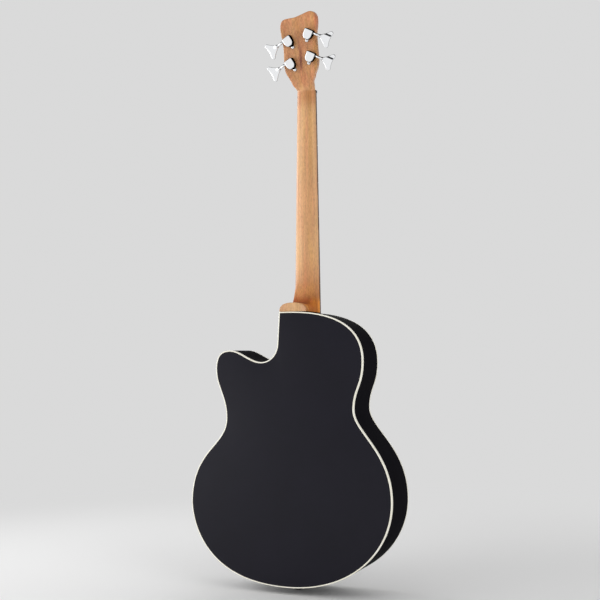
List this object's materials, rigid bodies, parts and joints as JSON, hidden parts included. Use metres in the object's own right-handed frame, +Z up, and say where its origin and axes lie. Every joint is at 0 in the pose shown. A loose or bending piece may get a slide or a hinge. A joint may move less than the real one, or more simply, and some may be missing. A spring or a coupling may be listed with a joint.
{
  "type": "acoustic bass guitar",
  "caption": "Acoustic bass guitar with a cutaway hollow body, a round soundhole, a tilted head and worm-geared tuners.",
  "frame": {"origin": "middle of the end pin's outer face, the lowest point of the instrument", "axes": "+Z up along the neck to the head, +Y out of the back, -Y out of the soundboard, +X towards the cutaway side"},
  "size_m": [0.4429, 0.1389, 1.2186],
  "materials": {
    "black_lacquer": "satin black lacquer",
    "cream_binding": "cream, lightly polished",
    "spruce": "bare, sanded",
    "mahogany": "natural, open-pored satin",
    "rosewood": "oiled",
    "bone": "off-white, polished",
    "chrome": "polished",
    "steel": "plain",
    "bronze": "wound string",
    "black_plastic": "gloss black"
  },
  "bodies": {
    "guitar": {"soundboard": "black_lacquer", "back_plate": "black_lacquer", "side_bass": "black_lacquer", "side_treble": "black_lacquer", "rosette": "cream_binding", "top_binding": "cream_binding", "back_binding": "cream_binding", "top_lining_bass": "spruce", "top_lining_treble": "spruce", "back_lining_bass": "spruce", "back_lining_treble": "spruce", "x_brace_bass": "spruce", "x_brace_treble": "spruce", "upper_transverse_brace": "spruce", "tone_bar": "spruce", "back_brace_1": "spruce", "back_brace_2": "spruce", "back_brace_3": "spruce", "back_brace_4": "spruce", "neck_block": "mahogany", "tail_block": "mahogany", "bridge_plate": "mahogany", "neck": "mahogany", "bridge": "rosewood", "fretboard": "rosewood", "saddle": "bone", "tuner_housing_1": "chrome", "tuner_bushing_1": "chrome", "tuner_screw_1": "chrome", "tuner_housing_2": "chrome", "tuner_bushing_2": "chrome", "tuner_screw_2": "chrome", "tuner_housing_3": "chrome", "tuner_bushing_3": "chrome", "tuner_screw_3": "chrome", "tuner_housing_4": "chrome", "tuner_bushing_4": "chrome", "tuner_screw_4": "chrome", "truss_rod": "steel", "string_1": "bronze", "string_2": "bronze", "string_3": "bronze", "string_4": "bronze", "end_pin": "black_plastic", "nut": "black_plastic", "truss_rod_cover": "black_plastic", "bridge_pin_1": "black_plastic", "bridge_pin_2": "black_plastic", "bridge_pin_3": "black_plastic", "bridge_pin_4": "black_plastic"},
    "key_1": {"tuner_key_1": "chrome"},
    "post_1": {"tuner_post_1": "chrome"},
    "key_2": {"tuner_key_2": "chrome"},
    "post_2": {"tuner_post_2": "chrome"},
    "key_3": {"tuner_key_3": "chrome"},
    "post_3": {"tuner_post_3": "chrome"},
    "key_4": {"tuner_key_4": "chrome"},
    "post_4": {"tuner_post_4": "chrome"},
    "truss_rod_nut": {"truss_rod_nut": "steel"}
  },
  "joints": [
    {"name": "key_1_turn", "type": "hinge", "parent": "guitar", "child": "key_1", "pos_m": [-0.02626, -0.0222, 1.12663], "axis": [-0.8829, -0.1136, -0.4555], "continuous": true},
    {"name": "post_1_turn", "type": "hinge", "parent": "guitar", "child": "post_1", "pos_m": [-0.0225, -0.02992, 1.12127], "axis": [0, 0.9703, -0.2419], "continuous": true},
    {"name": "key_2_turn", "type": "hinge", "parent": "guitar", "child": "key_2", "pos_m": [-0.02626, -0.01071, 1.17272], "axis": [-0.8829, -0.1136, -0.4555], "continuous": true},
    {"name": "post_2_turn", "type": "hinge", "parent": "guitar", "child": "post_2", "pos_m": [-0.0225, -0.01843, 1.16736], "axis": [0, 0.9703, -0.2419], "continuous": true},
    {"name": "key_3_turn", "type": "hinge", "parent": "guitar", "child": "key_3", "pos_m": [0.02626, -0.01325, 1.16253], "axis": [0.8829, -0.1136, -0.4555], "continuous": true},
    {"name": "post_3_turn", "type": "hinge", "parent": "guitar", "child": "post_3", "pos_m": [0.0225, -0.02097, 1.15718], "axis": [0, 0.9703, -0.2419], "continuous": true},
    {"name": "key_4_turn", "type": "hinge", "parent": "guitar", "child": "key_4", "pos_m": [0.02626, -0.02474, 1.11644], "axis": [0.8829, -0.1136, -0.4555], "continuous": true},
    {"name": "post_4_turn", "type": "hinge", "parent": "guitar", "child": "post_4", "pos_m": [0.0225, -0.03246, 1.11109], "axis": [0, 0.9703, -0.2419], "continuous": true},
    {"name": "truss_rod_nut_turn", "type": "hinge", "parent": "guitar", "child": "truss_rod_nut", "pos_m": [0, -0.054, 1.06433], "axis": [0, 0, 1], "range_deg": [-180, 180]}
  ],
  "couplings": [
    {"joint": "post_1_turn", "follows": "key_1_turn", "ratio": -0.071429},
    {"joint": "post_2_turn", "follows": "key_2_turn", "ratio": -0.071429},
    {"joint": "post_3_turn", "follows": "key_3_turn", "ratio": -0.071429},
    {"joint": "post_4_turn", "follows": "key_4_turn", "ratio": -0.071429}
  ]
}
